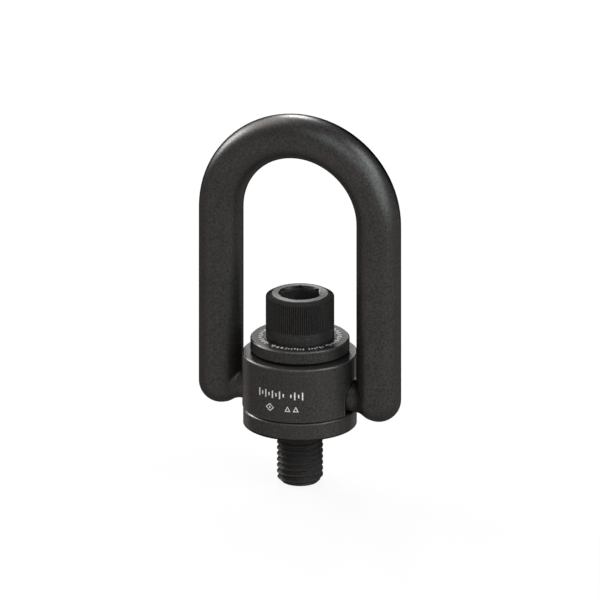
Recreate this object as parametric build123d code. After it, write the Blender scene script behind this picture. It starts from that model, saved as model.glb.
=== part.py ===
from build123d import *
import math
import os

# Swivel hoist ring, 3/4-10 centre-pull type.  Millimetres.
# Origin: centre of the seat face, the flange's underside that bears on the load.
# +Z runs up the screw's axis, and the bail stands upright in the XZ plane.
# Names ending in _LO and _HI are heights, and _R is a radius.

IN = 25.4

# --- screw (3/4 in socket head cap screw) ---
SCREW_DIA = 0.75 * IN
SCREW_R = SCREW_DIA / 2            # nominal thread and shank
SCREW_CLEAR = 0.075                # radial, in the bushing and the washer
BORE_R = SCREW_R + SCREW_CLEAR
HEAD_R = 14.15                     # inside the 1.107 to 1.125 in standard diameter
HEAD_H = SCREW_DIA                 # head is as tall as the thread is wide
HEAD_TOP_R = 11.85                 # flat ring on top, inside the chamfer
HEAD_CHAMFER_DEG = 30
HEAD_BOTTOM_BEVEL = 0.4
UNDER_HEAD_FILLET = 0.8            # between shank and head
STUD_OUT = 1.0 * IN                # thread that stands out below the seat
STUD_TIP_R = 7.45

HEX_R = 0.625 * IN / 2             # centre of the socket to a flat
HEX_DEPTH = 10.4
HEX_CORNER_DEG = 52.8              # where one corner of the socket points
HEX_MOUTH_R = 8.95                 # countersunk mouth of the socket
HEX_MOUTH_INSET = 0.2              # countersink's small end lies this far inside the flats
HEX_FLOOR_INSET = 0.3              # the same for the cone under the socket
HEX_FLOOR_DEPTH = 2.6
CONE_TIP_R = 0.01

# --- retaining ring and its groove ---
GROOVE_LO, GROOVE_HI = 1.20, 2.70
GROOVE_R = 8.90
RING_LO = 1.50
RING_T = 1.10
RING_IN_R = 8.93
RING_OUT_R = 10.9
RING_SHIFT = 0.35                  # outer circle's offset away from the gap
RING_GAP_DEG = 24.0
GAP_REACH = 30                     # length of the wedge that cuts the gap
EAR_CENTRE_R = 10.75               # distance of ears and holes from the screw's axis
EAR_R = 1.62
EAR_DEG = 8.0                      # ear's centre, past the edge of the gap
EAR_HOLE_R = 0.75
EAR_HOLE_DEG = 8.2                 # hole's centre, past the edge of the gap

# --- flanged bushing ---
FLANGE_R = 23.46
FLANGE_H = 7.3
FLANGE_BEVEL = 0.45                # top edge
FLANGE_SEAT_BEVEL = 0.3            # bottom edge
SLEEVE_R = 12.70
SLEEVE_TOP = 32.25
SLEEVE_BEVEL = 0.5
SLEEVE_BORE_BEVEL = 0.6
COUNTERBORE_R = 13.2
COUNTERBORE_D = 3.10
COUNTERBORE_BEVEL = 0.4

# --- top washer, which rests on the sleeve ---
WASHER_R = 20.5
WASHER_T = 5.45
WASHER_TOP = SLEEVE_TOP + WASHER_T
WASHER_BEVEL = 0.55                # top outer edge
WASHER_LOW_BEVEL = 0.45            # bottom outer edge
WASHER_BORE_BEVEL = 1.1            # top of the bore
WASHER_BORE_LOW_BEVEL = 0.5        # bottom of the bore

# --- bail ---
BAR_R = 9.25
BAIL_R = 34.75                     # centreline radius of the bow
PIVOT_Z = 14.30                    # trunnion axis above the seat
BOW_Z = 90.37                      # centre of the bow
TRUNNION_R = 6.35
TRUNNION_END_X = 13.75
TRUNNION_CHAMFER = 1.0
# Boss that narrows from leg to trunnion: distance inward from the leg's
# centreline, and radius about the trunnion's axis
BOSS = [
    (1.9, 8.95), (3.0, 8.79), (4.36, 8.30), (5.28, 7.78),
    (6.2, 7.22), (7.3, 6.74), (8.4, 6.46), (9.7, TRUNNION_R),
]
BOSS_START_SLOPE = -0.10
CREASE_FILLETS = (1.6, 1.2, 0.8, 0.5)   # in order of preference
CREASE_REACH_X = 3.2               # crease edges' centres, either side of the leg's inner face
CREASE_LO, CREASE_HI = PIVOT_Z + 1.0, PIVOT_Z + 8.5

# --- swivel body ---
BODY_R = 23.83
BODY_LO, BODY_HI = 7.90, 31.20
BODY_BORE_R = SLEEVE_R + 0.05
BODY_BORE_BEVEL = 0.6
BODY_BEVEL = 0.30                  # bottom outer edge
BODY_ROUND = 0.75                  # top outer edge
SLOT_HALF = TRUNNION_R + 0.10      # half width, with clearance round the trunnion
SLOT_LIP_FILLETS = (1.0, 0.8, 0.5, 0.3)  # in order of preference
SLOT_EDGE_TOL = 0.05
SLOT_EDGE_MIN_X = 5                # mouth edges' centres lie farther out than this
CUT_LENGTH = 2 * BODY_R + 10
CUT_BELOW = 2                      # overrun under the body

TOP_ALIGNED = (Align.CENTER, Align.CENTER, Align.MAX)


def polar(radius, degrees):
    """X and Y of a point given by its distance and direction from the origin."""
    angle = math.radians(degrees)
    return radius * math.cos(angle), radius * math.sin(angle)


def turned(outline):
    """Solid of revolution about Z from a closed (radius, height) outline."""
    points = [(r, 0, z) for r, z in outline]
    return revolve(make_face(Polyline(*points, close=True)), Axis.Z)


def rims(solid, radius, height):
    """The circular edges of one radius at one height."""
    return [edge for edge in solid.edges()
            if edge.geom_type == GeomType.CIRCLE
            and abs(edge.radius - radius) < 1e-3
            and abs(edge.arc_center.Z - height) < 1e-3]


def first_good_fillet(shape, edges, radii, adds):
    """Fillet with the first radius that gives a valid solid.

    adds is True where the fillet must add material and False where it must
    remove it.  The shape comes back unchanged if no radius works.
    """
    for radius in radii:
        # The kernel may refuse a radius on these curved edges; try the next one
        try:
            rounded = fillet(edges, radius)
            change = rounded.volume - shape.volume
            if rounded.is_valid and (change > 0 if adds else change < 0):
                return rounded
        except Exception:
            continue
    return shape


def save(name, shape, colour):
    solids = shape.solids()
    whole = solids[0] if len(solids) == 1 else Compound(children=list(solids))
    whole.label = name
    whole.color = Color(*colour)
    export_step(whole, os.path.join("parts", name + ".step"))


def make_boss(side):
    """Boss and trunnion that point inward from the leg on one side."""
    def at(inward, radius):
        return (side * (BAIL_R - inward), 0, PIVOT_Z + radius)

    end = BAIL_R - TRUNNION_END_X
    curve = Spline(*[at(inward, radius) for inward, radius in BOSS],
                   tangents=[(-side, 0, BOSS_START_SLOPE), (-side, 0, 0)])
    outline = curve + Polyline(
        at(*BOSS[-1]),
        at(end - TRUNNION_CHAMFER, TRUNNION_R),
        at(end, TRUNNION_R - TRUNNION_CHAMFER),
        at(end, 0),
        at(BOSS[0][0], 0),
        at(*BOSS[0]),
    )
    return revolve(make_face(outline), Axis((0, 0, PIVOT_Z), (1, 0, 0)))


def make_u_bar():
    """Bail: bow, two legs with ball ends, and the trunnions."""
    shape = revolve(Plane((-BAIL_R, 0, BOW_Z)) * Circle(BAR_R),
                    Axis((0, 0, BOW_Z), (0, 1, 0)), 180)
    leg_length = BOW_Z - PIVOT_Z
    for side in (-1, 1):
        leg = Pos(side * BAIL_R, 0, PIVOT_Z + leg_length / 2) * Cylinder(BAR_R, leg_length)
        ball = Pos(side * BAIL_R, 0, PIVOT_Z) * Sphere(BAR_R)
        shape = shape + leg + ball
    for side in (-1, 1):
        shape = shape + make_boss(side)

    # Crease between the straight leg and the top of each boss
    crease = []
    for edge in shape.edges():
        centre = edge.center()
        if (abs(abs(centre.X) - (BAIL_R - BAR_R)) < CREASE_REACH_X
                and CREASE_LO < centre.Z < CREASE_HI):
            crease.append(edge)
    return first_good_fillet(shape, crease, CREASE_FILLETS, adds=True)


def make_body():
    """Swivel body, with a slot across it, open below, for the trunnions."""
    shape = turned([
        (BODY_BORE_R + BODY_BORE_BEVEL, BODY_LO),
        (BODY_R - BODY_BEVEL, BODY_LO), (BODY_R, BODY_LO + BODY_BEVEL),
        (BODY_R, BODY_HI),
        (BODY_BORE_R + BODY_BORE_BEVEL, BODY_HI), (BODY_BORE_R, BODY_HI - BODY_BORE_BEVEL),
        (BODY_BORE_R, BODY_LO + BODY_BORE_BEVEL),
    ])
    shape = fillet(rims(shape, BODY_R, BODY_HI), BODY_ROUND)

    cut_lo = BODY_LO - CUT_BELOW
    tunnel = Pos(0, 0, PIVOT_Z) * (Rot(0, 90, 0) * Cylinder(SLOT_HALF, CUT_LENGTH))
    channel = (Pos(0, 0, (PIVOT_Z + cut_lo) / 2)
               * Box(CUT_LENGTH, 2 * SLOT_HALF, PIVOT_Z - cut_lo))
    shape = shape - (tunnel + channel)

    # Edges where the slot breaks through the outer wall
    mouth = []
    for edge in shape.edges():
        middle = edge @ 0.5
        if (abs(math.hypot(middle.X, middle.Y) - BODY_R) < SLOT_EDGE_TOL
                and abs(middle.Y) < SLOT_HALF + SLOT_EDGE_TOL
                and BODY_LO + BODY_BEVEL < middle.Z < PIVOT_Z + SLOT_HALF + SLOT_EDGE_TOL
                and abs(edge.center().X) > SLOT_EDGE_MIN_X):
            mouth.append(edge)
    return first_good_fillet(shape, mouth, SLOT_LIP_FILLETS, adds=False)


def make_bushing():
    """Flange and sleeve, counterbored from below."""
    return turned([
        (COUNTERBORE_R + COUNTERBORE_BEVEL, 0),
        (FLANGE_R - FLANGE_SEAT_BEVEL, 0), (FLANGE_R, FLANGE_SEAT_BEVEL),
        (FLANGE_R, FLANGE_H - FLANGE_BEVEL), (FLANGE_R - FLANGE_BEVEL, FLANGE_H),
        (SLEEVE_R, FLANGE_H),
        (SLEEVE_R, SLEEVE_TOP - SLEEVE_BEVEL), (SLEEVE_R - SLEEVE_BEVEL, SLEEVE_TOP),
        (BORE_R + SLEEVE_BORE_BEVEL, SLEEVE_TOP), (BORE_R, SLEEVE_TOP - SLEEVE_BORE_BEVEL),
        (BORE_R, COUNTERBORE_D), (COUNTERBORE_R, COUNTERBORE_D),
        (COUNTERBORE_R, COUNTERBORE_BEVEL),
    ])


def make_washer():
    return turned([
        (BORE_R + WASHER_BORE_LOW_BEVEL, SLEEVE_TOP),
        (WASHER_R - WASHER_LOW_BEVEL, SLEEVE_TOP), (WASHER_R, SLEEVE_TOP + WASHER_LOW_BEVEL),
        (WASHER_R, WASHER_TOP - WASHER_BEVEL), (WASHER_R - WASHER_BEVEL, WASHER_TOP),
        (BORE_R + WASHER_BORE_BEVEL, WASHER_TOP), (BORE_R, WASHER_TOP - WASHER_BORE_BEVEL),
        (BORE_R, SLEEVE_TOP + WASHER_BORE_LOW_BEVEL),
    ])


def make_screw():
    """Cap screw whose head rests on the washer."""
    base = WASHER_TOP
    top = base + HEAD_H
    chamfer_h = (HEAD_R - HEAD_TOP_R) * math.tan(math.radians(HEAD_CHAMFER_DEG))
    tip_h = SCREW_R - STUD_TIP_R       # 45 degree tip
    shape = turned([
        (0, -STUD_OUT), (STUD_TIP_R, -STUD_OUT), (SCREW_R, -STUD_OUT + tip_h),
        (SCREW_R, GROOVE_LO), (GROOVE_R, GROOVE_LO),
        (GROOVE_R, GROOVE_HI), (SCREW_R, GROOVE_HI),
        (SCREW_R, base), (HEAD_R - HEAD_BOTTOM_BEVEL, base),
        (HEAD_R, base + HEAD_BOTTOM_BEVEL), (HEAD_R, top - chamfer_h),
        (HEAD_TOP_R, top), (0, top),
    ])
    shape = fillet(rims(shape, SCREW_R, base), UNDER_HEAD_FILLET)

    floor_z = top - HEX_DEPTH
    corner_r = HEX_R / math.cos(math.radians(30))
    hexagon = [(*polar(corner_r, HEX_CORNER_DEG + 60 * i), floor_z) for i in range(6)]
    socket = extrude(make_face(Polyline(*hexagon, close=True)),
                     amount=HEX_DEPTH + 1, dir=(0, 0, 1))
    floor = Pos(0, 0, floor_z) * Cone(
        CONE_TIP_R, HEX_R - HEX_FLOOR_INSET, HEX_FLOOR_DEPTH, align=TOP_ALIGNED)
    # 45 degree countersink
    mouth_in_r = HEX_R - HEX_MOUTH_INSET
    mouth = Pos(0, 0, top) * Cone(
        mouth_in_r, HEX_MOUTH_R, HEX_MOUTH_R - mouth_in_r, align=TOP_ALIGNED)
    return shape - socket - floor - mouth


def make_ring():
    """Open ring with an eared gap, drawn towards +X and turned to face +Y."""
    half_gap = RING_GAP_DEG / 2
    # The section is widest opposite the gap
    outer = Pos(-RING_SHIFT, 0) * Circle(RING_OUT_R)
    inner = Circle(RING_IN_R)
    gap_y = GAP_REACH * math.tan(math.radians(half_gap))
    gap = Polyline((0, 0), (GAP_REACH, gap_y), (GAP_REACH, -gap_y), close=True)
    flat = outer - inner
    for side in (-1, 1):
        flat = flat + Pos(*polar(EAR_CENTRE_R, side * (half_gap + EAR_DEG))) * Circle(EAR_R)
    flat = flat - inner - make_face(gap)
    for side in (-1, 1):
        place = Pos(*polar(EAR_CENTRE_R, side * (half_gap + EAR_HOLE_DEG)))
        flat = flat - place * Circle(EAR_HOLE_R)
    return Pos(0, 0, RING_LO) * (Rot(0, 0, 90) * extrude(flat, amount=RING_T))


os.makedirs("parts", exist_ok=True)
save("u_bar", make_u_bar(), (0.20, 0.20, 0.19))
save("body", make_body(), (0.24, 0.24, 0.23))
save("flanged_bushing", make_bushing(), (0.24, 0.24, 0.23))
save("top_washer", make_washer(), (0.26, 0.26, 0.25))
save("cap_screw", make_screw(), (0.15, 0.15, 0.15))
save("retaining_ring", make_ring(), (0.30, 0.29, 0.27))
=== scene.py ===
"""Looks for a swivel hoist ring: detailed cap screw, laser-marked graduations, black oxide steel, studio light.

The screw's axis is Z and its head is on top. Shapes are in millimetres until make_object scales
them to metres; lights, camera and shader coordinates are in metres.
"""

import functools
import math

import bmesh
import bpy
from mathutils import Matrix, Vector


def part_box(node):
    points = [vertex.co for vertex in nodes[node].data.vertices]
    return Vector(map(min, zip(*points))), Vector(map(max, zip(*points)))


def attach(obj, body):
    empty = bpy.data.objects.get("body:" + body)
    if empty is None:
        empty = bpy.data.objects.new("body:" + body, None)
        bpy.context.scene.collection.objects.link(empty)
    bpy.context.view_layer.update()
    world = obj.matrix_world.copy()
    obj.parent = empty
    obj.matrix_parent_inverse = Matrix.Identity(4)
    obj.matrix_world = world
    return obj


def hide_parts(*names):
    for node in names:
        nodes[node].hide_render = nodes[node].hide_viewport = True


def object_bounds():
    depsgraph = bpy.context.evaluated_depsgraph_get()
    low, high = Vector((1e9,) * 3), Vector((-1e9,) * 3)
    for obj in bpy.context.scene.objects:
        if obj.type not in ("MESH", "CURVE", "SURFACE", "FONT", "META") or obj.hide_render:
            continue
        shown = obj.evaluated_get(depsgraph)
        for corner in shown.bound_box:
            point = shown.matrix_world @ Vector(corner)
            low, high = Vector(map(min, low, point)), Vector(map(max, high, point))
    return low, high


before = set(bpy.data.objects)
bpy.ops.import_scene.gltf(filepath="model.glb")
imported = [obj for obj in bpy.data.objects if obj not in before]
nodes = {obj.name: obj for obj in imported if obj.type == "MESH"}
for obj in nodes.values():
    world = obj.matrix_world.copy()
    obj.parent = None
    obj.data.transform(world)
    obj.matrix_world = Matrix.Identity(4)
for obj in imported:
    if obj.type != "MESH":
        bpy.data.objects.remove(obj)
cad_lo, cad_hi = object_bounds()
MM = 0.001
TAU = 2 * math.pi

# heights and radii, most read from the parts in model.glb
screw_lo, screw_hi = (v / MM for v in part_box("cap_screw"))
TOP = screw_hi.z                        # top of the screw's head
TIP = screw_lo.z                        # end of the thread
HEAD_R = screw_hi.x
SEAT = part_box("top_washer")[1].z / MM   # washer's top, the head sits on it
BODY_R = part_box("body")[1].y / MM
TRUNNION_Z = 14.30
TRUNNION_HOLE = 7.45


# ------------------------------------------------------------------ mesh code
def make_object(name, verts, faces, sharp_deg, weld):
    """A smooth-shaded object from millimetre points, with edges over sharp_deg kept crisp."""
    mesh = bpy.data.meshes.new(name)
    bm = bmesh.new()
    bm_verts = [bm.verts.new((x * MM, y * MM, z * MM)) for x, y, z in verts]
    for face in faces:
        bm.faces.new([bm_verts[i] for i in face])
    if weld:
        bmesh.ops.remove_doubles(bm, verts=bm.verts, dist=4e-7)
        bmesh.ops.dissolve_degenerate(bm, edges=bm.edges, dist=4e-7)
    bmesh.ops.recalc_face_normals(bm, faces=bm.faces)
    for face in bm.faces:
        face.smooth = True
    limit = math.radians(sharp_deg)
    for edge in bm.edges:
        edge.smooth = len(edge.link_faces) == 2 and edge.calc_face_angle(0.0) < limit
    bm.to_mesh(mesh)
    bm.free()
    ob = bpy.data.objects.new(name, mesh)
    bpy.context.scene.collection.objects.link(ob)
    return ob


class Skin:
    """Collects rings of points about Z and joins each ring to the last."""

    def __init__(self):
        self.verts, self.faces, self.last = [], [], None

    def join(self, points):
        start = len(self.verts)
        self.verts += points
        now = list(range(start, start + len(points)))
        old = self.last
        if old is not None:
            n, m = len(now), len(old)
            for k in range(n):
                a = (k + 1) % n
                if m == 1:
                    self.faces.append((old[0], now[k], now[a]))
                elif n == m:
                    self.faces.append((old[k], now[k], now[a], old[a]))
                else:                         # many points meet few: one flat fan per few
                    s = m // n
                    outer = [old[(k * s + i) % m] for i in range(s + 1)]
                    self.faces.append(tuple(outer) + (now[a], now[k]))
        self.last = now

    def ring(self, stations, angles):
        """stations: (radius, height) at each angle."""
        self.join([(r * math.cos(a), r * math.sin(a), z) for (r, z), a in zip(stations, angles)])

    def circle(self, r, z, angles):
        self.ring([(r, z)] * len(angles), angles)

    def close(self, z):
        """Fan the last ring to a point on the axis."""
        self.verts.append((0.0, 0.0, z))
        centre = len(self.verts) - 1
        n = len(self.last)
        for k in range(n):
            self.faces.append((self.last[k], self.last[(k + 1) % n], centre))
        self.last = None


# --------------------------------------------------------------- cap screw
HEX_CORNER = math.radians(52.8)
HEX_APOTHEM = 15.875 / 2
MOUTH_R = 8.95                   # round mouth that cuts the socket's corners
SOCKET_DEPTH = 10.4
SOCKET_FLOOR = TOP - SOCKET_DEPTH
FLOOR_BREAK = 0.12               # softening where the socket's walls meet its floor
FLAT_R = 11.85                   # flat ring on top, up to the chamfer
FLAT_BREAK = 0.85                # half the length of the softened edge between the two
CHAMFER = math.radians(30)
KNURL_TOP = TOP - 1.75
KNURL_LOW = SEAT + 5.35
BAND_R = HEAD_R - 0.06           # plain band below the knurl
BAND_ROUND = 0.38
TOOTH = [0.0, 0.035, 0.17, 0.31, 0.385, 0.31, 0.17, 0.035]    # depth below the crest, one tooth
TEETH = 96

SCREW_R = 9.525
FILLET = 0.8
GROOVE_R = 8.90                  # groove of the retaining ring
GROOVE_TOP = 2.70
GROOVE_BREAK = 0.08
END_R = 7.45                     # foot of the chamfer at the stud's end
PITCH = 2.54
THREAD_DEPTH = 0.6134 * PITCH
THREAD_TOP = 1.20                # also the groove's lower end
THREAD_START = 0.48              # share of a turn that the helix is turned by
THREAD_FIRST_ROW = 5             # row of the thread's profile that the helix starts on

HEAD_COUNT = TEETH * len(TOOTH)
STUD_COUNT = HEAD_COUNT // 4
HEAD_ANGLES = [HEX_CORNER + TAU * k / HEAD_COUNT for k in range(HEAD_COUNT)]
STUD_ANGLES = [HEX_CORNER + TAU * k / STUD_COUNT for k in range(STUD_COUNT)]


def hex_r(a):
    """Distance from the axis to the hexagon's wall at angle a."""
    phi = (a - HEX_CORNER) % (TAU / 6)
    return HEX_APOTHEM / math.cos(phi - TAU / 12)


def chamfer_z(r):
    return TOP - (r - FLAT_R) * math.tan(CHAMFER)


def add_socket(skin):
    """Drilled centre, hexagon socket and its mouth, from the bottom up."""
    hexagon = [hex_r(a) for a in HEAD_ANGLES]
    skin.join([(0.0, 0.0, SOCKET_FLOOR - 2.55)])
    for r, drop in ((0.6, 2.34), (3.6, 1.28), (7.1, 0.06), (7.3, 0.0)):
        skin.circle(r, SOCKET_FLOOR - drop, HEAD_ANGLES)
    skin.ring([(r - FLOOR_BREAK, SOCKET_FLOOR) for r in hexagon], HEAD_ANGLES)
    wall_foot = SOCKET_FLOOR + FLOOR_BREAK
    for share in (0.0, 0.25, 0.5, 0.75, 1.0):
        skin.ring([(r, wall_foot + (SOCKET_DEPTH - FLOOR_BREAK - max(0.0, MOUTH_R - r)) * share)
                   for r in hexagon], HEAD_ANGLES)
    for out in (0.0, 0.35):
        skin.ring([(max(MOUTH_R + out, r + out), TOP) for r in hexagon], HEAD_ANGLES)


def add_head(skin):
    """Flat ring, chamfer, knurl, plain band and the underside."""
    skin.circle(FLAT_R - 1.2, TOP, HEAD_ANGLES)
    break_r = FLAT_BREAK / math.tan(CHAMFER / 2)
    for t in (0.0, 0.17, 0.34, 0.5, 0.66, 0.83, 1.0):
        turn = CHAMFER * t
        skin.circle(FLAT_R - FLAT_BREAK + break_r * math.sin(turn),
                    TOP - break_r * (1 - math.cos(turn)), HEAD_ANGLES)
    for r in (12.9, 13.5):
        skin.circle(r, chamfer_z(r), HEAD_ANGLES)

    knurl = [HEAD_R - TOOTH[k % len(TOOTH)] for k in range(HEAD_COUNT)]
    skin.ring([(r - 0.10, chamfer_z(r - 0.10)) for r in knurl], HEAD_ANGLES)
    skin.ring([(r, chamfer_z(r) - 0.10) for r in knurl], HEAD_ANGLES)
    for t in range(6):
        z = KNURL_TOP + (KNURL_LOW - KNURL_TOP) * t / 5
        skin.ring([(r, z) for r in knurl], HEAD_ANGLES)
    skin.ring([(min(BAND_R, r + 0.25), KNURL_LOW - 0.22) for r in knurl], HEAD_ANGLES)

    for z in (KNURL_LOW - 0.45, KNURL_LOW - 0.75, SEAT + 1.6, SEAT + 0.42):
        skin.circle(BAND_R, z, HEAD_ANGLES)
    for t in (0.2, 0.4, 0.6, 0.8, 1.0):
        q = math.pi / 2 * t
        skin.circle(BAND_R - BAND_ROUND + BAND_ROUND * math.cos(q),
                    SEAT + BAND_ROUND - BAND_ROUND * math.sin(q), HEAD_ANGLES)
    skin.circle(12.4, SEAT, HEAD_ANGLES)


def add_shank(skin):
    """Fillet under the head, plain shank and the groove of the retaining ring."""
    skin.circle(SCREW_R + FILLET + 0.05, SEAT, STUD_ANGLES)
    for t in range(7):
        q = math.pi / 2 * t / 6
        skin.circle(SCREW_R + FILLET - FILLET * math.sin(q),
                    SEAT - FILLET + FILLET * math.cos(q), STUD_ANGLES)
    for z in (32.0, 26.0, 20.0, 14.0, 8.0, 3.4, GROOVE_TOP + GROOVE_BREAK):
        skin.circle(SCREW_R, z, STUD_ANGLES)
    skin.circle(SCREW_R - GROOVE_BREAK, GROOVE_TOP, STUD_ANGLES)
    skin.circle(GROOVE_R + GROOVE_BREAK, GROOVE_TOP, STUD_ANGLES)
    for z in (GROOVE_TOP - GROOVE_BREAK, THREAD_TOP + GROOVE_BREAK, THREAD_TOP):
        skin.circle(GROOVE_R, z, STUD_ANGLES)


def thread_profile():
    """One pitch of the thread, crest to crest: (share of pitch, depth from crest)."""
    flank_depth = THREAD_DEPTH - 0.10
    flank = flank_depth * math.tan(math.radians(30)) / PITCH
    edge = 0.0625                              # half the crest's width
    half = [(0.0, 0.0), (edge - 0.012, 0.0), (edge + 0.010, 0.045)]
    half += [(edge + flank * t, flank_depth * t) for t in (0.25, 0.5, 0.75, 1.0)]
    half += [(0.455, THREAD_DEPTH - 0.02), (0.5, THREAD_DEPTH)]
    return half + [(1.0 - share, depth) for share, depth in reversed(half[1:-1])]


def add_thread(skin):
    """Rows of points follow the helix, so that crest and root edges stay crisp."""
    profile = thread_profile()
    per_turn = len(profile)
    shift = profile[THREAD_FIRST_ROW][0]
    turns = (THREAD_TOP - TIP) / PITCH + 1.0 + THREAD_START
    row_count = int(math.ceil(turns)) * per_turn + 1
    rows = []
    for i in range(row_count + 1):
        turn, p = divmod(i + THREAD_FIRST_ROW, per_turn)
        share, depth = turn + profile[p][0] - shift, profile[p][1]
        row = []
        for k, a in enumerate(STUD_ANGLES):
            z = THREAD_TOP + PITCH * (k / STUD_COUNT - share + THREAD_START)
            if z >= THREAD_TOP:
                z, r = THREAD_TOP, GROOVE_R
            elif z <= TIP:
                z, r = TIP, END_R
            else:                              # 45 degree chamfers at both ends
                r = min(SCREW_R - depth, GROOVE_R + THREAD_TOP - z, END_R + z - TIP)
            row.append(len(skin.verts))
            skin.verts.append((r * math.cos(a), r * math.sin(a), z))
        rows.append(row)
    for i in range(row_count):
        here, below = rows[i], rows[i + 1]
        for k in range(STUD_COUNT - 1):
            skin.faces.append((here[k], below[k], below[k + 1], here[k + 1]))
        if i >= per_turn:                      # the end of a turn meets the start of the one above
            skin.faces.append((here[-1], below[-1], rows[i + 1 - per_turn][0], rows[i - per_turn][0]))


def add_stud_end(skin):
    """Flat face at the chamfer's foot, with a turned centre."""
    skin.last = None
    for r in (END_R, 7.2, 4.5, 1.9):
        skin.circle(r, TIP, STUD_ANGLES)
    skin.circle(1.7, TIP + 0.12, STUD_ANGLES)
    skin.close(TIP + 0.9)


def build_screw():
    skin = Skin()
    for add in (add_socket, add_head, add_shank, add_thread, add_stud_end):
        add(skin)
    return make_object("cap_screw_detail", skin.verts, skin.faces, sharp_deg=24.0, weld=True)


screw = build_screw()
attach(screw, "screw")
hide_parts("cap_screw")


# ------------------------------------------------------ graduation marks
class Marks:
    """Shallow closed blocks that stand a hair proud of a surface.

    place(u, v, h) puts a point on the surface: u along, v across, h out of it.
    """

    def __init__(self, place, proud, deep=0.12):
        self.verts, self.faces = [], []
        self.place, self.proud, self.deep = place, proud, deep

    def put(self, points, h):
        self.verts += [self.place(u, v, h) for u, v in points]

    def stroke(self, u, v0, v1, width):
        """A straight stroke across, from v0 to v1."""
        b = len(self.verts)
        for v in (v0, v1):
            low, high = (u - width / 2, v), (u + width / 2, v)
            self.put((low, high), self.proud)
            self.put((high, low), -self.deep)
        for k in range(4):
            j = (k + 1) % 4
            self.faces.append((b + k, b + j, b + 4 + j, b + 4 + k))
        self.faces.append((b, b + 3, b + 2, b + 1))
        self.faces.append((b + 4, b + 5, b + 6, b + 7))

    def dot(self, u, v, radius, n):
        """A round dot with n sides."""
        outline = [(u + radius * math.cos(TAU * k / n), v + radius * math.sin(TAU * k / n))
                   for k in range(n)]
        b = len(self.verts)
        self.put(outline, self.proud)
        self.put(outline, -self.deep)
        self.faces.append(tuple(b + i for i in range(n)))
        self.faces.append(tuple(b + n + i for i in reversed(range(n))))
        for i in range(n):
            j = (i + 1) % n
            self.faces.append((b + i, b + n + i, b + n + j, b + j))

    def frame(self, outline, width):
        """An open shape whose corners lie width inside those of the outline."""
        n, b = len(outline), len(self.verts)
        mid_u = sum(p[0] for p in outline) / n
        mid_v = sum(p[1] for p in outline) / n
        inner = []
        for u, v in outline:
            d = math.hypot(u - mid_u, v - mid_v)
            s = (d - width) / d
            inner.append((mid_u + (u - mid_u) * s, mid_v + (v - mid_v) * s))
        for h in (self.proud, -self.deep):
            self.put(outline, h)
            self.put(inner, h)
        for i in range(n):
            j = (i + 1) % n
            self.faces.append((b + i, b + j, b + n + j, b + n + i))
            self.faces.append((b + 2 * n + i, b + 3 * n + i, b + 3 * n + j, b + 2 * n + j))
            self.faces.append((b + i, b + 2 * n + i, b + 2 * n + j, b + j))
            self.faces.append((b + n + i, b + n + j, b + 3 * n + j, b + 3 * n + i))

    def build(self, name, part):
        ob = make_object(name, self.verts, self.faces, sharp_deg=40.0, weld=False)
        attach(ob, part)
        return ob


FACING = math.atan2(-0.935, 0.354)       # direction in plan that the camera looks from


def on_body(u, v, h):
    """u: distance round the body from the facing direction, v: height."""
    a = FACING + u / BODY_R
    r = BODY_R + h
    return (r * math.cos(a), r * math.sin(a), v)


def round_body(degrees):
    return math.radians(degrees) * BODY_R


def build_body_marks():
    marks = Marks(on_body, proud=0.035)
    # upper row: strokes, tall and short in turn, with one place left free
    row_lo, row_hi = 18.05, 21.35
    row_mid, short_half = (row_lo + row_hi) / 2, 0.75
    start, end = round_body(-46.0), round_body(4.5)
    count, free_place = 13, 8
    for i in range(count):
        if i == free_place:
            continue
        u = start + (end - start) * (i + 0.5) / count
        span = (row_lo, row_hi) if i % 2 == 0 else (row_mid - short_half, row_mid + short_half)
        marks.stroke(u, *span, width=0.56)
    # lower row: an open diamond with a dot, and two open triangles
    low = 13.9
    u = round_body(-31.5)
    marks.frame([(u - 2.0, low), (u, low - 1.75), (u + 2.0, low), (u, low + 1.75)], width=0.52)
    marks.dot(u, low, radius=0.42, n=14)
    for degrees in (-12.6, -4.2):
        u = round_body(degrees)
        marks.frame([(u - 1.25, low - 1.1), (u + 1.25, low - 1.1), (u, low + 1.25)], width=0.62)
    return marks.build("body_graduation", "housing")


SCALE_R = 16.3                           # middle radius of the washer's scale


def on_washer(u, v, h):
    """u: angle times the scale's radius, v: radius."""
    a = u / SCALE_R
    return (v * math.cos(a), v * math.sin(a), SEAT + h)


def build_washer_marks():
    """A scale of strokes round the top face in four groups, with a dot at each group's end."""
    marks = Marks(on_washer, proud=0.03)
    groups, places = 4, 21
    free_places = (7, 14, 19, 20)
    spans = ((15.2, 17.3), (15.9, 16.7), (15.6, 17.3), (15.2, 16.3))    # radius from, radius to
    widths = (0.85, 0.5, 0.7, 0.45)
    step = TAU / (groups * places)
    for k in range(groups * places):
        group, i = divmod(k, places)
        if i not in free_places:
            marks.stroke(step * k * SCALE_R, *spans[i % 4], width=widths[(i + group) % 4])
    for group in range(groups):
        marks.dot(step * (places * group + 19.5) * SCALE_R, SCALE_R, radius=0.7, n=18)
    return marks.build("washer_graduation", "washer")


body_marks = build_body_marks()
washer_marks = build_washer_marks()


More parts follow.
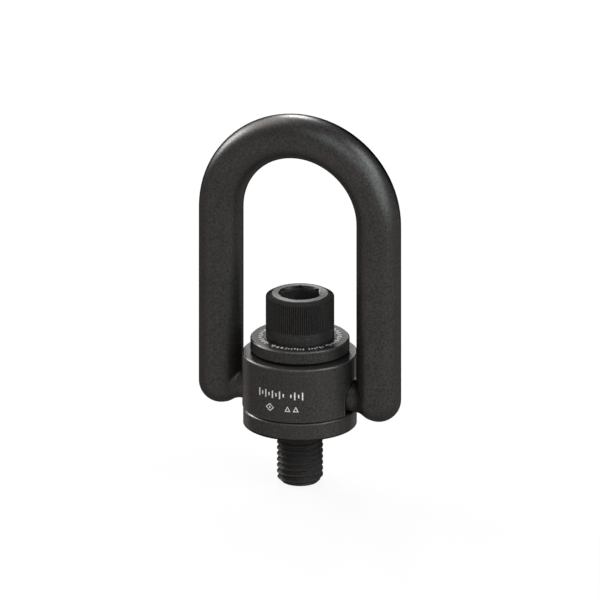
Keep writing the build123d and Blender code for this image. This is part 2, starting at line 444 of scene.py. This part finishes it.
# ---------------------------------------------------------------- materials
class Nodes:
    """Small helper for building node trees."""

    def __init__(self, tree):
        self.tree = tree
        tree.nodes.clear()

    def add(self, kind, **settings):
        node = self.tree.nodes.new(kind)
        for key, value in settings.items():
            setattr(node, key, value)
        return node

    def link(self, source, target):
        self.tree.links.new(source, target)

    def set(self, node, name, value):
        if isinstance(value, bpy.types.NodeSocket):
            self.link(value, node.inputs[name])
        else:
            node.inputs[name].default_value = value

    def math(self, op, *values, clamp=False):
        node = self.add("ShaderNodeMath", operation=op, use_clamp=clamp)
        for i, value in enumerate(values):
            self.set(node, i, value)
        return node.outputs[0]

    def total(self, *values):
        return functools.reduce(lambda a, b: self.math("ADD", a, b), values)

    def product(self, *values):
        return functools.reduce(lambda a, b: self.math("MULTIPLY", a, b), values)

    def one_plus(self, value, amount):
        """1 + value * amount"""
        return self.math("MULTIPLY_ADD", value, amount, 1.0)

    def length(self, a, b):
        return self.math("SQRT", self.total(self.product(a, a), self.product(b, b)))

    def noise(self, vector, scale, detail=3.0, rough=0.55):
        node = self.add("ShaderNodeTexNoise")
        self.set(node, "Vector", vector)
        self.set(node, "Scale", scale)
        self.set(node, "Detail", detail)
        self.set(node, "Roughness", rough)
        return node.outputs["Fac"]

    def ramp(self, value, span, to=(0.0, 1.0), smooth=False):
        """Clamped map from span to another range."""
        node = self.add("ShaderNodeMapRange", clamp=True)
        node.interpolation_type = "SMOOTHSTEP" if smooth else "LINEAR"
        self.set(node, "Value", value)
        self.set(node, "From Min", span[0])
        self.set(node, "From Max", span[1])
        self.set(node, "To Min", to[0])
        self.set(node, "To Max", to[1])
        return node.outputs["Result"]

    def ramp_mm(self, value, span, **settings):
        """A ramp whose span is in millimetres."""
        return self.ramp(value, (span[0] * MM, span[1] * MM), **settings)

    def near(self, value, target, span, peak):
        """A line along value == target that fades out over span; all in millimetres."""
        off = self.math("ABSOLUTE", self.math("SUBTRACT", value, target * MM))
        return self.ramp_mm(off, span, to=(peak, 0.0), smooth=True)

    def mix(self, factor, a, b, blend="MIX"):
        node = self.add("ShaderNodeMix", data_type="RGBA", blend_type=blend)
        self.set(node, 0, factor)
        self.set(node, 6, a)
        self.set(node, 7, b)
        return node.outputs[2]

    def box(self, radius, z, r0, r1, z0, z1, soft):
        """1 between two radii and two heights in millimetres, else 0."""
        def between(value, low, high):
            return self.product(self.ramp_mm(value, (low - soft, low + soft)),
                                self.ramp_mm(value, (high - soft, high + soft), to=(1.0, 0.0)))
        return self.product(between(radius, r0, r1), between(z, z0, z1))


def new_material(name):
    """A material with a Principled surface: the material, its nodes and the shader."""
    material = bpy.data.materials.new(name)
    material.use_nodes = True
    g = Nodes(material.node_tree)
    out = g.add("ShaderNodeOutputMaterial")
    bsdf = g.add("ShaderNodeBsdfPrincipled")
    g.link(bsdf.outputs["BSDF"], out.inputs["Surface"])
    return material, g, bsdf


def painted_slot_glint(g, x, y, z, radius, slot):
    """Painted glints on the mouth of the trunnion's slot, an arch and straight sides below it, and on a rub
    line above, which is partly wear.
    """
    arch_r, arch_z = slot
    crown = arch_z + arch_r
    over_axis = g.math("MAXIMUM", g.math("SUBTRACT", z, arch_z * MM), 0.0)
    mouth = g.near(g.length(y, over_axis), arch_r, span=(0.15, 0.55), peak=0.7)
    side = g.product(y, g.math("SIGN", x))
    # the rub line: partly wear, with a painted glint strongest at its foot
    line = g.product(g.near(side, 1.3, span=(0.05, 0.30), peak=1.0),
                     g.ramp_mm(z, (crown - 0.4, crown + 0.2)),
                     g.ramp_mm(z, (crown + 0.5, 31.0), to=(2.6, 0.9)))
    # a painted glint, a bright spot at the line's foot
    spot = g.length(g.math("SUBTRACT", z, (crown + 0.4) * MM), g.math("SUBTRACT", side, 1.2 * MM))
    line = g.total(line, g.ramp_mm(spot, (0.15, 0.60), to=(6.0, 0.0), smooth=True))
    return g.product(g.total(mouth, line), g.ramp_mm(radius, (23.0, 23.4)))


def edge_wear_and_glint(g, where, x, y, z, radius, rims, rubbed_and_lit, slot):
    """Edges made bright, partly wear and partly a painted highlight, unevenly round the axis; a negative
    strength paints shade instead.
    """
    twice_sine = g.math("DIVIDE", g.product(x, y, 2.0),
                        g.math("MAXIMUM", g.product(radius, radius), 1e-9))
    # the edges are brightest where x and y share a sign, on the front-left and back-right, where the painted
    # highlights sit
    uneven = g.ramp(twice_sine, (0.0, 0.85), to=(1.0 - rubbed_and_lit, 1.0), smooth=True)
    edges = []
    for edge_r, edge_z, width, strength in rims:
        distance = g.length(g.math("SUBTRACT", radius, edge_r * MM),
                            g.math("SUBTRACT", z, edge_z * MM))
        edges.append(g.ramp_mm(distance, (0.3 * width, width), to=(strength, 0.0), smooth=True))
    rim_wear_and_glint = g.product(g.total(*edges), uneven)
    if slot:
        rim_wear_and_glint = g.total(rim_wear_and_glint, painted_slot_glint(g, x, y, z, radius, slot))
    patches = g.noise(where, scale=900.0, detail=3.0, rough=0.6)
    return g.product(rim_wear_and_glint, g.ramp(patches, (0.35, 0.62), to=(0.75, 1.0)))


def zone_factors(g, z, radius, zones, flutes):
    """Factors on the matt colour and on the gloss, in areas with a skin of their own, some with painted light
    too; a knurl's roots get painted shade.
    """
    matt_factors, gloss_factors = [], []
    for *extent, matt, gloss in zones:
        inside = g.box(radius, z, *extent, soft=0.08)
        matt_factors.append(g.one_plus(inside, matt - 1.0))
        gloss_factors.append(g.one_plus(inside, gloss - 1.0))
    if flutes:
        root, crest, z0, z1 = flutes
        inside = g.product(g.ramp_mm(z, (z0, z0 + 0.2)),
                           g.ramp_mm(z, (z1 - 0.2, z1), to=(1.0, 0.0)))
        # painted shade in the knurl's roots, a little painted light on its crests
        factor = g.one_plus(inside, g.ramp_mm(radius, (root, crest), to=(-0.45, 0.15)))
        matt_factors.append(factor)
        gloss_factors.append(factor)
    return g.product(*matt_factors), g.product(*gloss_factors)


# painted shade: darkens the outline where the normal points along direction, standing in for a dark card's
# reflection
def painted_card_shade(g, facing, card):
    direction, strength = card
    toward = g.add("ShaderNodeVectorMath", operation="DOT_PRODUCT")
    g.link(g.add("ShaderNodeNewGeometry").outputs["Normal"], toward.inputs[0])
    toward.inputs[1].default_value = direction
    side_on = g.product(g.ramp(toward.outputs["Value"], (0.58, 0.92), to=(0.0, strength)),
                        g.ramp(facing, (0.30, 0.70), smooth=True))
    return g.math("SUBTRACT", 1.0, side_on)


def lathe_lines(g, where, z, radius, height, turned):
    """Regular grooves and irregular lines, along the height and along the radius."""
    groove_pitch = 0.00022
    jig = g.product(g.noise(where, scale=60.0, detail=2.0), 0.0006)
    for along, strength in zip((z, radius), turned):
        position = g.total(along, jig)
        groove = g.math("SINE", g.product(position, TAU / groove_pitch))
        lines = g.add("ShaderNodeTexNoise", noise_dimensions="1D")
        g.set(lines, "W", position)
        g.set(lines, "Scale", 2600.0)
        g.set(lines, "Detail", 3.0)
        g.set(lines, "Roughness", 0.7)
        height = g.total(height, g.product(groove, 0.25 * strength),
                         g.product(lines.outputs["Fac"], 1.6 * strength))
    return height


RIM_ROUGH = 0.36             # roughness of edges with wear and a painted highlight
RIM_GLOSS = 3.3              # gain of their reflection
OUTLINE = 0.08               # reflection left where a face turns away


def oxide_steel(name, tint, gloss, rough, grain=1.0, spread=0.10, speck_scale=1150.0,
                fade=(0.72, 0.88), turned=None, flat_rough=None, flat_gloss=1.0, lathe=0.0,
                glaze=0.0, rims=(), rubbed_and_lit=0.0, slot=None, zones=(), flutes=None,
                unfaded=None, card=None):
    """Black oxide on steel. Extents are in millimetres.

    tint, gloss: matt colour of the oxide; mirror reflectance face on
    grain, spread, speck_scale: strength of the specks; of all mottling; noise scale of the specks
    fade: span of the facing value over which a face that turns from the camera is painted dark, an outline of
    painted shade
    turned: (axial, radial) strength of lathe lines; a part with zones, rims or flutes
        needs turned or zones, as these bring in the radius
    flat_rough, flat_gloss, lathe: roughness, gloss factor and anisotropy of faces square to Z
    glaze: how much more the turned sides reflect at a glancing angle (needs flat_rough)
    rims: (radius, height, width, strength) of edges made bright by wear and a painted highlight; a negative
    strength paints shade
    rubbed_and_lit: how much that brightness varies round the axis, peaking where the painted highlights sit
    slot: (radius, height) of the trunnion's slot, whose mouth and a rub line above it get painted glints (needs
    rims)
    zones: (r from, r to, z from, z to, matt factor, gloss factor)
    flutes: (r root, r crest, z from, z to) of a knurl with painted shade in its roots and a little painted
    light on its crests (needs zones)
    unfaded: (r from, r to, z from, z to) that stays bright at a glancing angle
    card: (direction, strength) of painted shade on the outline, where the normal points along direction,
    standing in for a dark card's reflection
    """
    material, g, bsdf = new_material(name)
    coord = g.add("ShaderNodeTexCoord")
    where = coord.outputs["Object"]
    if turned or zones:
        split = g.add("ShaderNodeSeparateXYZ")
        g.set(split, 0, where)
        x, y, z = split.outputs
        radius = g.length(x, y)

    # mottling at four sizes
    blotch = g.noise(where, scale=95.0, detail=3.0, rough=0.6)
    mottle = g.noise(where, scale=620.0, detail=4.0, rough=0.65)
    speck = g.noise(where, scale=speck_scale, detail=1.5, rough=0.6)
    fine = g.noise(where, scale=5200.0, detail=2.0, rough=0.6)
    shade = g.total(g.ramp(blotch, (0.3, 0.7), to=(-0.4, 0.4)),
                    g.ramp(mottle, (0.3, 0.7), to=(-0.35, 0.35)),
                    g.ramp(speck, (0.25, 0.75), to=(-1.3 * grain, 1.3 * grain)),
                    g.ramp(fine, (0.3, 0.7), to=(-0.8, 0.8)))
    value = g.math("MAXIMUM", g.one_plus(shade, spread), 0.25)

    base = g.add("ShaderNodeRGB")
    base.outputs[0].default_value = (*tint, 1.0)
    warm = g.mix(g.ramp(blotch, (0.35, 0.65), smooth=True),
                 (0.97, 1.0, 1.03, 1.0), (1.05, 1.0, 0.95, 1.0))
    colour = g.mix(1.0, base.outputs[0], warm, "MULTIPLY")

    rim_wear_and_glint = edge_wear_and_glint(g, where, x, y, z, radius, rims, rubbed_and_lit, slot) if rims else None
    if zones:
        zone_matt, zone_gloss = zone_factors(g, z, radius, zones, flutes)

    # where a face turns from the camera, its reflection and matt colour are painted dark: an outline of painted
    # shade
    facing_node = g.add("ShaderNodeLayerWeight")
    g.set(facing_node, "Blend", 0.5)
    facing = facing_node.outputs["Facing"]
    outline_shade = g.ramp(facing, fade, to=(1.0, OUTLINE), smooth=True)
    if unfaded:
        outline_shade = g.math("MAXIMUM", outline_shade, g.box(radius, z, *unfaded, soft=0.05))
    matt_fade = (fade[0] + 0.04, fade[1] + 0.05)
    level = g.product(value, g.ramp(facing, matt_fade, to=(1.0, 0.25), smooth=True))
    # painted shade on the outline's side that faces the card's direction
    if card:
        dark = painted_card_shade(g, facing, card)
        level = g.product(level, dark)
        outline_shade = g.product(outline_shade, dark)

    # matt colour
    if zones:
        level = g.product(level, zone_matt)
    # wear and a painted highlight on the edges, and painted glints at the slot, lighten the matt colour
    if rim_wear_and_glint is not None:
        level = g.product(level, g.one_plus(rim_wear_and_glint, 0.8))
    grey = g.add("ShaderNodeCombineColor")
    for i in range(3):
        g.set(grey, i, level)
    g.set(bsdf, "Base Color", g.mix(1.0, colour, grey.outputs[0], "MULTIPLY"))
    g.set(bsdf, "Metallic", 0.0)
    g.set(bsdf, "IOR", 1.5)

    # reflection and roughness; the bright edges, with wear and a painted highlight, lose the mottling
    even = value
    if rim_wear_and_glint is not None:
        even = g.total(g.product(g.math("SUBTRACT", value, 1.0),
                                 g.math("SUBTRACT", 1.0, rim_wear_and_glint, clamp=True)), 1.0)
    shine = g.product(even, outline_shade, gloss / 0.08)
    if rim_wear_and_glint is not None:
        shine = g.product(shine, g.one_plus(rim_wear_and_glint, RIM_GLOSS))
    if zones:
        shine = g.product(shine, zone_gloss)
    roughness = g.math("MULTIPLY_ADD", shade, 0.02 / grain, rough)
    if flat_rough is not None:
        normal = g.add("ShaderNodeSeparateXYZ")
        g.set(normal, 0, coord.outputs["Normal"])
        up = normal.outputs[2]
        if glaze:
            upright = g.ramp(g.math("ABSOLUTE", up), (0.3, 0.6), to=(1.0, 0.0))
            glancing = g.ramp(facing, (0.50, 0.80), to=(0.0, glaze), smooth=True)
            shine = g.product(shine, g.one_plus(g.product(glancing, upright), 1.0))
        flat = g.ramp(g.math("ABSOLUTE", up), (0.985, 0.999), smooth=True)
        roughness = g.total(roughness, g.product(flat, flat_rough - rough))
        shine = g.product(shine, g.one_plus(flat, flat_gloss - 1.0))
        if lathe:
            tangent = g.add("ShaderNodeTangent", direction_type="RADIAL", axis="Z")
            g.set(bsdf, "Tangent", tangent.outputs[0])
            g.set(bsdf, "Anisotropic Rotation", 0.25)
            g.set(bsdf, "Anisotropic", g.product(flat, lathe))
    if rim_wear_and_glint is not None:
        roughness = g.total(roughness, g.product(g.math("MINIMUM", rim_wear_and_glint, 1.0), RIM_ROUGH - rough))
    g.set(bsdf, "Specular IOR Level", shine)
    g.set(bsdf, "Roughness", roughness)

    # surface grain, smoothed off on the edges with wear and a painted highlight
    height = g.total(g.product(g.ramp(fine, (0.25, 0.75)), 0.55),
                     g.product(g.ramp(mottle, (0.25, 0.75)), 0.8))
    if turned:
        height = lathe_lines(g, where, z, radius, height, turned)
    bump = g.add("ShaderNodeBump")
    strength = 1.0 if rim_wear_and_glint is None else g.math("SUBTRACT", 1.0, rim_wear_and_glint, clamp=True)
    g.set(bump, "Strength", strength)
    g.set(bump, "Distance", 0.0000035)
    g.set(bump, "Height", height)
    g.set(bsdf, "Normal", bump.outputs["Normal"])
    return material


def mark_steel(name, level):
    """Bare laser mark: pale, matt, a little uneven."""
    material, g, bsdf = new_material(name)
    where = g.add("ShaderNodeTexCoord").outputs["Object"]
    patch = g.noise(where, scale=1500.0, detail=3.0, rough=0.6)
    dull = (level * 0.80, level * 0.79, level * 0.77, 1.0)
    pale = (level * 1.1, level * 1.09, level * 1.06, 1.0)
    g.set(bsdf, "Base Color", g.mix(g.ramp(patch, (0.3, 0.7)), dull, pale))
    g.set(bsdf, "Metallic", 0.0)
    g.set(bsdf, "Roughness", g.ramp(patch, (0.3, 0.7), to=(0.5, 0.7)))
    bump = g.add("ShaderNodeBump")
    g.set(bump, "Distance", 0.000004)
    g.set(bump, "Height", g.noise(where, scale=6000.0, detail=2.0))
    g.set(bsdf, "Normal", bump.outputs["Normal"])
    return material


def wear(ob, material):
    ob.data.materials.clear()
    ob.data.materials.append(material)


# shared by the body and the bushing
HOUSING = dict(gloss=0.036, rough=0.46, grain=2.8, turned=(0.9, 1.0), fade=(0.86, 0.98),
               speck_scale=1350.0)
SOCKET_WALL = (7.95, 8.98, TOP - 1.0, TOP - 0.05)    # sloping mouth of the socket's corners

# bail: painted shade on its outline where it faces up, right and back
wear(nodes["u_bar"], oxide_steel(
    "bail_black_oxide", tint=(0.0163, 0.0158, 0.0153), gloss=0.050, rough=0.36, grain=2.5,
    spread=0.11, fade=(0.55, 0.82), card=((0.577, 0.473, 0.666), 0.97)))
# body: edges with wear and a painted highlight, painted glints at the slot
wear(nodes["body"], oxide_steel(
    "body_black_oxide", tint=(0.0258, 0.0252, 0.0242), flat_rough=0.56, glaze=7.0, rubbed_and_lit=0.75,
    slot=(TRUNNION_HOLE, TRUNNION_Z),
    rims=((23.83, 31.2, 1.1, 1.5), (23.83, 7.9, 0.9, 0.5)), **HOUSING))
# bushing: its top edge gets wear and a painted highlight, its bottom edge painted shade from a negative
# strength
wear(nodes["flanged_bushing"], oxide_steel(
    "bushing_black_oxide", tint=(0.0270, 0.0264, 0.0254), flat_rough=0.55, glaze=7.5, rubbed_and_lit=0.6,
    rims=((23.46, 7.3, 0.8, 1.4), (23.3, 0.1, 0.9, -1.1)), **HOUSING))
# washer: edges with wear and a painted highlight
wear(nodes["top_washer"], oxide_steel(
    "washer_black_oxide", tint=(0.0230, 0.0225, 0.0217), gloss=0.034, rough=0.46, grain=3.6,
    turned=(0.9, 1.0), flat_rough=0.60, lathe=0.3, speck_scale=1350.0, rubbed_and_lit=0.55,
    zones=((14.9, 17.6, SEAT - 0.2, SEAT + 1.0, 0.6, 0.6),),
    rims=((20.5, 37.7, 0.8, 1.5), (20.5, 32.25, 0.6, 0.3))))
wear(nodes["retaining_ring"], oxide_steel(
    "spring_black_oxide", tint=(0.022, 0.021, 0.020), gloss=0.045, rough=0.34))
wear(screw, oxide_steel(
    "screw_oiled_oxide", tint=(0.0202, 0.0203, 0.0201), gloss=0.022, rough=0.38, grain=2.6,
    flat_rough=0.50, flat_gloss=1.7, lathe=0.7, fade=(0.62, 0.80), speck_scale=1350.0,
    zones=((11.5, 20.0, TOP - 1.72, TOP + 1.0, 1.45, 0.08),     # chamfer
           # socket: less gloss, and a matt colour painted lighter, standing in for light reaching into the
           # recess
           (0.0, 9.3, TOP - 20.0, TOP - 1.05, 3.2, 0.3),        # socket
           (*SOCKET_WALL, 0.4, 2.0),
           (10.0, 20.0, SEAT - 1.0, SEAT + 5.0, 1.5, 0.9),      # plain band
           (0.0, 12.0, TIP - 1.0, 0.5, 1.95, 0.45)),            # thread
    unfaded=SOCKET_WALL,
    # knurl: painted shade in the roots
    flutes=(HEAD_R - 0.385, HEAD_R - 0.03, SEAT + 5.0, TOP - 1.6)))
wear(body_marks, mark_steel("laser_mark", level=0.95))
wear(washer_marks, mark_steel("laser_mark_washer", level=0.75))


# ------------------------------------------------------------ floor and light
scene = bpy.context.scene
WHITE = (1.0, 1.0, 1.0, 1.0)


def build_floor():
    bm = bmesh.new()
    bmesh.ops.create_grid(bm, x_segments=24, y_segments=24, size=12.0)
    mesh = bpy.data.meshes.new("floor")
    bm.to_mesh(mesh)
    bm.free()
    floor = bpy.data.objects.new("floor", mesh)
    floor.location = (0, 0, cad_lo.z - 0.00002)
    scene.collection.objects.link(floor)
    mesh.materials.append(floor_material())
    # the studio light already comes up from below as well, so the floor takes shadows but
    # doesn't light the object
    floor.visible_glossy = False
    floor.visible_diffuse = False
    floor.visible_shadow = False


def floor_material():
    """Diffuse, with a white glow mixed over it for the camera."""
    material = bpy.data.materials.new("pale_floor")
    material.use_nodes = True
    g = Nodes(material.node_tree)
    out = g.add("ShaderNodeOutputMaterial")
    lit = g.add("ShaderNodeBsdfDiffuse")
    g.set(lit, "Color", (0.86, 0.86, 0.86, 1.0))
    glow = g.add("ShaderNodeEmission")
    g.set(glow, "Color", WHITE)
    g.set(glow, "Strength", 1.0)
    seen = g.add("ShaderNodeLightPath").outputs["Is Camera Ray"]
    blend = g.add("ShaderNodeMixShader")
    g.set(blend, 0, g.product(seen, 0.90))
    g.link(lit.outputs[0], blend.inputs[1])
    g.link(glow.outputs[0], blend.inputs[2])
    g.link(blend.outputs[0], out.inputs["Surface"])
    return material


CAM_AZIMUTH, CAM_ELEVATION = math.radians(20.74), math.radians(19.69)
CAM_TARGET = Vector((0.0, 0.0, 0.0535))
CAM_DISTANCE = 0.2525


def build_camera():
    """Orthographic, aimed at the target from the front, right and above."""
    back = Vector((math.sin(CAM_AZIMUTH) * math.cos(CAM_ELEVATION),
                   -math.cos(CAM_AZIMUTH) * math.cos(CAM_ELEVATION),
                   math.sin(CAM_ELEVATION)))
    data = bpy.data.cameras.new("camera")
    data.type = "ORTHO"
    data.ortho_scale = 0.2475
    data.clip_start = 0.001
    data.clip_end = 20.0
    camera = bpy.data.objects.new("camera", data)
    camera.location = CAM_TARGET + back * CAM_DISTANCE
    camera.rotation_mode = "QUATERNION"
    camera.rotation_quaternion = (-back).to_track_quat("-Z", "Y")
    scene.collection.objects.link(camera)
    scene.camera = camera
    bpy.context.view_layer.update()
    return camera


LIGHT_DISTANCE = 1.3
# name, azimuth (0 toward the camera, 90 to its right), elevation and half angle as seen from
# the target, all in degrees and in the camera's frame; radiance; colour
LIGHTS = (
    ("key_left", -121.1, 31.5, 11.26, 9.5, (1.0, 1.0, 0.99)),
    ("key_top", -175.3, 54.3, 6.79, 33.5, (1.0, 1.0, 1.0)),
    ("upper_left_fill", -119.3, 50.5, 24.3, 2.65, (1.07, 0.99, 0.94)),
    ("side_right_high", 61.8, 37.4, 17.05, 3.96, (0.99, 1.0, 1.01)),
    ("side_right_low", 47.4, 7.2, 23.8, 2.16, (0.94, 1.015, 1.045)),
    ("front_right_fill", 30.0, 2.0, 16.0, 0.40, (0.97, 1.0, 1.02)),
    ("front_top", 1.6, 29.9, 20.0, 1.54, (0.94, 1.02, 1.04)),
)


def add_softbox(camera, name, azimuth, elevation, half_angle, radiance, colour):
    """A disk aimed at the target and parented to the camera, so it stays put as the object turns."""
    a, e = math.radians(azimuth), math.radians(elevation)
    toward = Vector((math.cos(e) * math.sin(a), math.sin(e), math.cos(e) * math.cos(a))).normalized()
    size = 2 * LIGHT_DISTANCE * math.tan(math.radians(half_angle))
    data = bpy.data.lights.new(name, "AREA")
    data.shape = "DISK"
    data.size = size
    data.energy = radiance * (math.pi / 4 * (size * size)) * math.pi
    data.color = colour
    ob = bpy.data.objects.new(name, data)
    scene.collection.objects.link(ob)
    ob.parent = camera
    ob.location = Vector((0, 0, -CAM_DISTANCE)) + toward * LIGHT_DISTANCE
    ob.rotation_mode = "QUATERNION"
    ob.rotation_quaternion = toward.to_track_quat("Z", "Y")
    ob.visible_camera = False


def studio_level(g):
    """Brightness of the studio by direction: bright on the camera's side, dim behind the object."""
    direction = g.add("ShaderNodeTexCoord").outputs["Generated"]
    to_camera = g.add("ShaderNodeVectorTransform", vector_type="VECTOR", convert_from="WORLD",
                      convert_to="CAMERA")
    g.set(to_camera, 0, direction)
    split = g.add("ShaderNodeSeparateXYZ")
    g.set(split, 0, to_camera.outputs[0])
    right, up, depth = split.outputs
    nearer = g.product(depth, -1.0)           # this node's camera space looks along +Z
    front = g.ramp(nearer, (-0.45, 0.20), smooth=True)
    upper = g.ramp(up, (-0.15, 0.25), smooth=True)
    in_front = g.ramp(upper, (0.0, 1.0), to=(0.487, 0.213))
    behind = g.ramp(upper, (0.0, 1.0), to=(0.152, 0.0))
    level = g.total(g.product(front, in_front),
                    g.product(g.math("SUBTRACT", 1.0, front), behind),
                    g.product(front, right, -0.085))      # front is dimmer to the right
    back_right = g.product(g.ramp(right, (0.1, 0.9)), g.math("SUBTRACT", 1.0, front))
    level = g.math("MULTIPLY_ADD", back_right, 0.09, level)
    return g.math("MAXIMUM", level, 0.0)


def build_world():
    """White to the camera, a warm studio to everything else."""
    world = bpy.data.worlds.new("studio")
    scene.world = world
    world.use_nodes = True
    g = Nodes(world.node_tree)
    out = g.add("ShaderNodeOutputWorld")
    studio = g.add("ShaderNodeBackground")
    g.set(studio, "Color", (1.075, 0.987, 0.935, 1.0))
    g.set(studio, "Strength", studio_level(g))
    plain = g.add("ShaderNodeBackground")
    g.set(plain, "Color", WHITE)
    g.set(plain, "Strength", 1.0)
    pick = g.add("ShaderNodeMixShader")
    g.link(g.add("ShaderNodeLightPath").outputs["Is Camera Ray"], pick.inputs[0])
    g.link(studio.outputs[0], pick.inputs[1])
    g.link(plain.outputs[0], pick.inputs[2])
    g.link(pick.outputs[0], out.inputs["Surface"])


build_floor()
scene_camera = build_camera()
for light in LIGHTS:
    add_softbox(scene_camera, *light)
build_world()

scene.view_settings.view_transform = "Standard"
scene.view_settings.look = "None"
